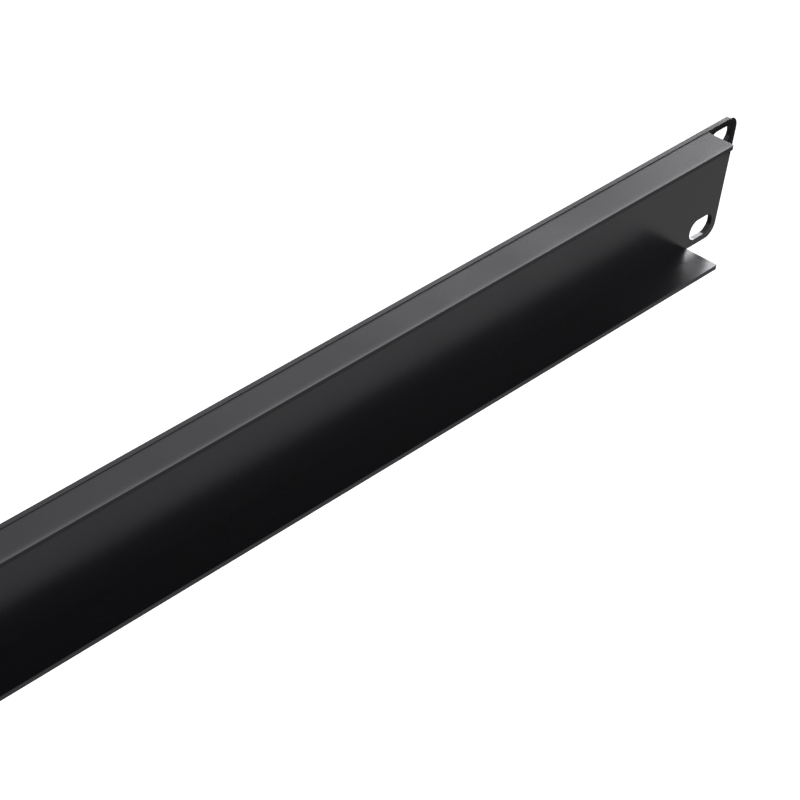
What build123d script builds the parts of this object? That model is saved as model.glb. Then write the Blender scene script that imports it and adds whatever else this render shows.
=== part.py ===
from build123d import *
import os

# One-unit blanking panel for a 19 inch rack, in black powder-coated sheet steel.
# X runs along the panel, Z is up, and the front of the face plate lies in the plane Y = 0.
# The flanges stand out behind the plate, towards +Y. The origin is the centre of the
# four slots, on the front of the plate. All sizes are in millimetres, over the coat.

# Face plate
panel_width = 482.6
panel_height = 43.2
sheet = 1.6
corner_radius = 4.5

# Slots for the rack screws, placed from the ends and edges of the plate.
# The rack standard asks for centres 465.1 apart along the panel and 31.75 apart up it.
slot_length = 12.0
slot_width = 7.0
slot_centre_from_end = 8.75
slot_centre_from_edge = 5.725

# Flanges, with their depths measured from the front of the plate
slot_to_flange = 2.55
top_flange_depth = 11.5
bottom_flange_depth = 14.7
flange_inset = 0.2

# Edges, rounded by the coat
plate_edge_radius = 0.1
flange_edge_radius = 0.1
flange_corner_radius = 0.6

# Sizes that follow from the ones above
slot_spacing_x = panel_width - 2 * slot_centre_from_end
slot_spacing_z = panel_height - 2 * slot_centre_from_edge
ear_length = slot_centre_from_end + slot_length / 2 + slot_to_flange
flange_run = panel_width - 2 * ear_length
flange_middle = panel_height / 2 - flange_inset - sheet / 2


def make_face_plate():
    """The flat plate, with its rounded corners and four slots and their softened rims."""
    with BuildPart() as plate:
        with BuildSketch(Plane.XZ):
            RectangleRounded(panel_width, panel_height, corner_radius)
            with GridLocations(slot_spacing_x, slot_spacing_z, 2, 2):
                SlotOverall(slot_length, slot_width, mode=Mode.SUBTRACT)
        extrude(amount=-sheet)
        rims = plate.faces().filter_by(Axis.Y).edges()
        fillet(rims, plate_edge_radius)
    return plate.part


def make_flange(depth, height):
    """One flange along the back of the plate, with its middle at Z = height.

    Its root lies inside the thickness of the plate. Its free edge has rounded corners
    and rounded rims.
    """
    root = sheet / 2
    with BuildPart() as flange:
        with BuildSketch(Plane.YZ):
            with Locations(((root + depth) / 2, height)):
                Rectangle(depth - root, sheet)
        extrude(amount=flange_run / 2, both=True)
        free_end = flange.faces().sort_by(Axis.Y)[-1]
        fillet(free_end.edges().filter_by(Axis.Z), flange_corner_radius)
        free_end = flange.faces().sort_by(Axis.Y)[-1]
        fillet(free_end.edges().filter_by(Axis.X), flange_edge_radius)
    return flange.part


def make_panel():
    """The plate and both flanges as one piece."""
    top_flange = make_flange(top_flange_depth, flange_middle)
    bottom_flange = make_flange(bottom_flange_depth, -flange_middle)
    return make_face_plate() + top_flange + bottom_flange


panel = make_panel()
panel.label = "panel"

os.makedirs("parts", exist_ok=True)
export_step(panel, "parts/panel.step")
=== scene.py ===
import math

import bpy
from mathutils import Matrix, Vector


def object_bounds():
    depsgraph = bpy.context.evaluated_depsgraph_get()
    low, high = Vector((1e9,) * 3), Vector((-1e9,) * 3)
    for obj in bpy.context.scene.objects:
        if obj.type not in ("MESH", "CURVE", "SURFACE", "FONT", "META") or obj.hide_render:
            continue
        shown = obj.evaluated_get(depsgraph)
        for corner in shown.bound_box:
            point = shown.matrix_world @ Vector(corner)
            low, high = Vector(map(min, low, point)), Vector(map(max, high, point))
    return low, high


# One-unit rack blanking panel: a sheet of steel with two flanges and slotted ears,
# powder-coated satin black. Its form is the CAD node's own; this script gives it
# its coat and a plain studio, in the CAD model's frame. Lengths are in metres, apart
# from the corners of the cards.

mm = 0.001  # in metres

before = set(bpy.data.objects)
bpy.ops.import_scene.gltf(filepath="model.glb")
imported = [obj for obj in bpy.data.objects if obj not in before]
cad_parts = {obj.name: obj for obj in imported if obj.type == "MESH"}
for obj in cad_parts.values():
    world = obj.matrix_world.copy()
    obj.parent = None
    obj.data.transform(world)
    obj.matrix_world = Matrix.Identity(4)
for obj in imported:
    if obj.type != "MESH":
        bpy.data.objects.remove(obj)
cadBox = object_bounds()
print("frame loaded:", sorted(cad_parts))


def linear(hexColour):
    # sRGB hex to linear RGBA
    channels = [int(hexColour[i : i + 2], 16) / 255 for i in (1, 3, 5)]
    return [c / 12.92 if c <= 0.04045 else ((c + 0.055) / 1.055) ** 2.4 for c in channels] + [1.0]


def addNode(tree, kind, settings=None, links=None):
    # one node, its settings, and its inputs as sockets or plain values
    node = tree.nodes.new(kind)
    for name, value in (settings or {}).items():
        setattr(node, name, value)
    for name, value in (links or {}).items():
        socket = node.inputs[name]
        if isinstance(value, bpy.types.NodeSocket):
            tree.links.new(value, socket)
        else:
            socket.default_value = value
    return node


def newMaterial(name):
    material = bpy.data.materials.new(name)
    material.use_nodes = True
    material.node_tree.nodes.clear()
    return material, material.node_tree


# Polyester powder coat, sprayed on the bare sheet and baked: the powder flows out to a
# closed satin skin, so the gloss is soft and even, with the faint waviness called
# orange peel, and under it a grain too fine to see, which only spreads the gloss.
powderCoat = {
    "colour": "#060607",  # carbon black pigment
    "ior": 1.5,
    "glossTint": "#f4f1ff",  # carbon black gives the gloss a cool cast
    "roughness": (0.24, 0.28),  # satin, a little uneven from spot to spot
    "cloudSize": 35 * mm,  # how far apart the glossier spots lie
    "cloudRange": (0.3, 0.7),  # where nearly all of the noise lies
    "peelSize": 1.6 * mm,  # from crest to crest of the orange peel
    "peelHeight": 0.0025 * mm,
    "grainSize": 0.35 * mm,
    "grainHeight": 0.0006 * mm,
}


def powderCoatBlack():
    coat = powderCoat
    material, tree = newMaterial("powderCoatSatinBlack")
    place = addNode(tree, "ShaderNodeTexCoord").outputs["Object"]
    # the gloss, uneven from spot to spot
    clouds = addNode(
        tree, "ShaderNodeTexNoise", links={"Vector": place, "Scale": 1 / coat["cloudSize"], "Detail": 2.0}
    )
    gloss = addNode(
        tree,
        "ShaderNodeMapRange",
        links={
            "Value": clouds.outputs["Fac"],
            "From Min": coat["cloudRange"][0],
            "From Max": coat["cloudRange"][1],
            "To Min": coat["roughness"][0],
            "To Max": coat["roughness"][1],
        },
    )
    # the grain, and the orange peel over it
    grain = addNode(
        tree, "ShaderNodeTexNoise", links={"Vector": place, "Scale": 1 / coat["grainSize"], "Detail": 1.0}
    )
    grainBump = addNode(
        tree, "ShaderNodeBump", links={"Height": grain.outputs["Fac"], "Distance": coat["grainHeight"]}
    )
    peel = addNode(
        tree, "ShaderNodeTexNoise", links={"Vector": place, "Scale": 1 / coat["peelSize"], "Detail": 1.0}
    )
    peelBump = addNode(
        tree,
        "ShaderNodeBump",
        links={
            "Height": peel.outputs["Fac"],
            "Distance": coat["peelHeight"],
            "Normal": grainBump.outputs["Normal"],
        },
    )
    surface = addNode(
        tree,
        "ShaderNodeBsdfPrincipled",
        links={
            "Base Color": linear(coat["colour"]),
            "IOR": coat["ior"],
            "Specular Tint": linear(coat["glossTint"]),
            "Roughness": gloss.outputs["Result"],
            "Normal": peelBump.outputs["Normal"],
        },
    )
    addNode(tree, "ShaderNodeOutputMaterial", links={"Surface": surface.outputs["BSDF"]})
    return material


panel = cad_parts["panel"]
panel.data.materials.clear()
panel.data.materials.append(powderCoatBlack())
print("panel coated:", len(panel.data.polygons), "faces")


# The studio. The floor lies well below the panel and shows white, to the eye and in gloss.
studio = {
    "floorColour": "#e6e6e6",
    "floorDrop": 0.5,  # from the panel's lowest edge
    "floorSize": 40.0,
    "floorGlow": 0.5,  # added to the lit floor where it is seen, so that it is white
    "skyLight": 0.8,
}


def layFlat(name, corners, material):
    # one flat sheet of the studio, by its corners
    mesh = bpy.data.meshes.new(name)
    mesh.from_pydata(corners, [], [range(len(corners))])
    mesh.materials.append(material)
    sheet = bpy.data.objects.new(name, mesh)
    bpy.context.scene.collection.objects.link(sheet)
    return sheet


def studioFloor():
    material, tree = newMaterial("studioFloorPale")
    path = addNode(tree, "ShaderNodeLightPath").outputs
    eye = addNode(
        tree,
        "ShaderNodeMath",
        {"operation": "MAXIMUM"},
        {0: path["Is Camera Ray"], 1: path["Is Glossy Ray"]},
    )
    seen = addNode(
        tree,
        "ShaderNodeMath",
        {"operation": "MAXIMUM"},
        {0: eye.outputs[0], 1: path["Is Transmission Ray"]},
    )
    share = addNode(
        tree, "ShaderNodeMath", {"operation": "MULTIPLY"}, {0: seen.outputs[0], 1: studio["floorGlow"]}
    )
    glow = addNode(tree, "ShaderNodeEmission", links={"Strength": share.outputs[0]})
    matt = addNode(tree, "ShaderNodeBsdfDiffuse", links={"Color": linear(studio["floorColour"])})
    both = addNode(tree, "ShaderNodeAddShader", links={0: matt.outputs[0], 1: glow.outputs[0]})
    addNode(tree, "ShaderNodeOutputMaterial", links={"Surface": both.outputs[0]})
    half = studio["floorSize"] / 2
    level = cadBox[0][2] - studio["floorDrop"]
    corners = [(-half, -half, level), (half, -half, level), (half, half, level), (-half, half, level)]
    layFlat("floor", corners, material)


# Cards that only the gloss sees, each with its tone and its corners in millimetres.
glossCards = {
    # under the panel, so that the white floor doesn't wash out the black
    "greyCard": (
        0.41,
        [(-1500, -1500, -272), (1500, -1500, -272), (1500, 1500, -272), (-1500, 1500, -272)],
    ),
    # below in front, and away to the right, both for dark walls in the slots
    "frontFlag": (0.14, [(-600, -420, -260), (600, -420, -260), (600, -80, -260), (-600, -80, -260)]),
    "sideFlag": (0.0, [(500, -560, -260), (750, -330, -260), (750, -330, 120), (500, -560, 120)]),
    # close behind the upper left slot, for a dark ear
    "earFlag": (0.0, [(-234.7, 8.3, 13.3), (-256, 8.3, 17.5), (-256, 8.3, -2.7)]),
    # along the rim of the top flange, a dark one behind it and a bright one over it
    "rimFlag": (0.17, [(-300, 16, 13.7), (300, 16, 13.7), (300, 16, 16.7), (-300, 16, 16.7)]),
    "rimCard": (2.0, [(-300, 8.5, 24), (300, 8.7, 24), (300, 13, 24), (-300, 13, 24)]),
}


def hangCard(name, tone, corners):
    # one card of an even tone, hidden from all but the gloss
    material, tree = newMaterial("studio" + name[0].upper() + name[1:])
    glow = addNode(tree, "ShaderNodeEmission", links={"Strength": tone})
    addNode(tree, "ShaderNodeOutputMaterial", links={"Surface": glow.outputs[0]})
    card = layFlat(name, [Vector(corner) * mm for corner in corners], material)
    for ray in ("camera", "diffuse", "transmission", "volume_scatter", "shadow"):
        setattr(card, "visible_" + ray, False)


def whiteSky():
    # the same soft light from all round
    world = bpy.data.worlds.new("whiteSky")
    world.use_nodes = True
    world.node_tree.nodes.clear()
    white = linear("#ffffff")
    sky = addNode(
        world.node_tree, "ShaderNodeBackground", links={"Color": white, "Strength": studio["skyLight"]}
    )
    addNode(world.node_tree, "ShaderNodeOutputWorld", links={"Surface": sky.outputs[0]})
    bpy.context.scene.world = world


studioFloor()
for name, (tone, corners) in glossCards.items():
    hangCard(name, tone, corners)
whiteSky()
print("studio built:", len(glossCards), "cards")


# Soft lamps beyond the panel's left end, each a rectangle that faces the tip of the lower flange.
# The softbox lights the top flange along its length, and the small one the end of the lower flange.
# Heading and height are the angles at which the lamp is seen from the tip, in degrees.
softLamps = {
    "endSoftbox": {"away": 1.0, "heading": -152, "height": 14, "size": (0.55, 0.2), "radiance": 14.5},
    "endLight": {"away": 0.15, "heading": -158, "height": 29, "size": (0.045, 0.022), "radiance": 12},
}
flangeTip = Vector((cadBox[0][0] + 17 * mm, 10 * mm, cadBox[0][2] + 2 * mm))  # on its upper face


def softLamp(name, away, heading, height, size, radiance):
    turn, rise = math.radians(heading), math.radians(height)
    towards = Vector((math.cos(rise) * math.cos(turn), math.cos(rise) * math.sin(turn), math.sin(rise)))
    lamp = bpy.data.lights.new(name, "AREA")
    lamp.shape = "RECTANGLE"
    lamp.size, lamp.size_y = size
    lamp.energy = radiance * math.pi * size[0] * size[1]
    holder = bpy.data.objects.new(name, lamp)
    bpy.context.scene.collection.objects.link(holder)
    facing = (-towards).to_track_quat("-Z", "Y").to_matrix().to_4x4()
    holder.matrix_world = Matrix.Translation(flangeTip + away * towards) @ facing
    holder.visible_camera = False


for name, lamp in softLamps.items():
    softLamp(name, **lamp)
print("studio lit:", len(softLamps), "lamps")


# The camera, as fitted to the photograph: it looks down on the back of the panel's left ear,
# seen from the front, and is rolled a little clockwise.
view = {
    "lens": 196.25,  # in millimetres, as the sensor
    "sensor": 36,
    "reach": (0.05, 50.0),  # nearest and furthest that it sees
    "aim": (-78.05 * mm, 1.5 * mm, -14.44 * mm),  # on the back of the plate
    "distance": 1241.07 * mm,
    "heading": math.radians(-147.8883),  # of the line of sight, from +X towards +Y
    "pitch": math.radians(-32.5982),
    "roll": math.radians(-10.2081),
}


def studioCamera():
    lens = bpy.data.cameras.new("camera")
    lens.lens = view["lens"]
    lens.sensor_width = view["sensor"]
    lens.clip_start, lens.clip_end = view["reach"]
    camera = bpy.data.objects.new("camera", lens)
    bpy.context.scene.collection.objects.link(camera)
    # the line of sight, and then the frame's up and right, rolled about it
    flat = math.cos(view["pitch"])
    sight = Vector(
        (flat * math.cos(view["heading"]), flat * math.sin(view["heading"]), math.sin(view["pitch"]))
    )
    side = sight.cross(Vector((0, 0, 1))).normalized()
    level = side.cross(sight)
    up = math.cos(view["roll"]) * level + math.sin(view["roll"]) * side
    right = sight.cross(up)
    turn = Matrix((right, up, -sight)).transposed().to_4x4()
    camera.matrix_world = Matrix.Translation(Vector(view["aim"]) - view["distance"] * sight) @ turn
    bpy.context.scene.camera = camera


studioCamera()
print("camera set")

bpy.context.scene.view_settings.view_transform = "Standard"
